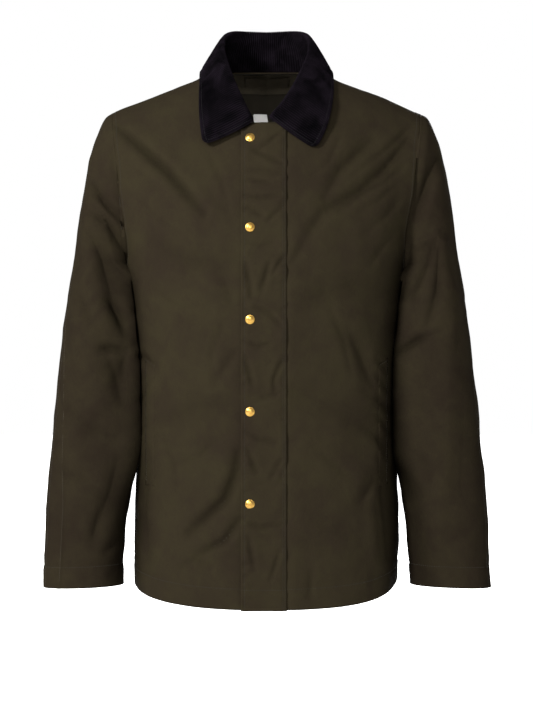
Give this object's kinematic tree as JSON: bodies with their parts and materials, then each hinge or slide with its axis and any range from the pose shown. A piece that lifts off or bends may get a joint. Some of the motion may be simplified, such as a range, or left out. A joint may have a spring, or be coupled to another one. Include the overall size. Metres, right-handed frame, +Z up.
{
  "type": "jacket",
  "caption": "Straight waxed cotton jacket, filled out with no wearer: snap storm flap, side welt pockets, plain sleeves and a turned-down corduroy collar.",
  "frame": {"origin": "midway between the two ends of the neckline at the shoulder seams, where the wearer's shoulders hold the jacket up", "axes": "+Z up along the jacket, -Y out of its front, +X towards the wearer's left (on the right as the front is looked at)"},
  "size_m": [0.6174, 0.2754, 0.8052],
  "materials": {
    "back": "waxed cotton, soft sheen",
    "front_right": "waxed cotton, soft sheen",
    "front_left": "waxed cotton, soft sheen",
    "sleeve_right_front": "waxed cotton, soft sheen",
    "sleeve_right_back": "waxed cotton, soft sheen",
    "sleeve_left_front": "waxed cotton, soft sheen",
    "sleeve_left_back": "waxed cotton, soft sheen",
    "storm_flap": "waxed cotton, soft sheen",
    "pocket_welt_right": "waxed cotton, soft sheen",
    "pocket_welt_left": "waxed cotton, soft sheen",
    "back_neck_facing": "cotton, matt",
    "hanger_loop": "cotton, matt",
    "collar": "corduroy, matt pile",
    "neck_label": "woven, blank",
    "snap_1": "polished",
    "snap_2": "polished",
    "snap_3": "polished",
    "snap_4": "polished",
    "snap_5": "polished"
  },
  "bodies": {
    "root": {"back": "back", "front_right": "front_right", "front_left": "front_left", "sleeve_right_front": "sleeve_right_front", "sleeve_right_back": "sleeve_right_back", "sleeve_left_front": "sleeve_left_front", "sleeve_left_back": "sleeve_left_back", "storm_flap": "storm_flap", "pocket_welt_right": "pocket_welt_right", "pocket_welt_left": "pocket_welt_left", "back_neck_facing": "back_neck_facing", "hanger_loop": "hanger_loop", "collar": "collar", "neck_label": "neck_label", "snap_1": "snap_1", "snap_2": "snap_2", "snap_3": "snap_3", "snap_4": "snap_4", "snap_5": "snap_5"}
  },
  "joints": []
}
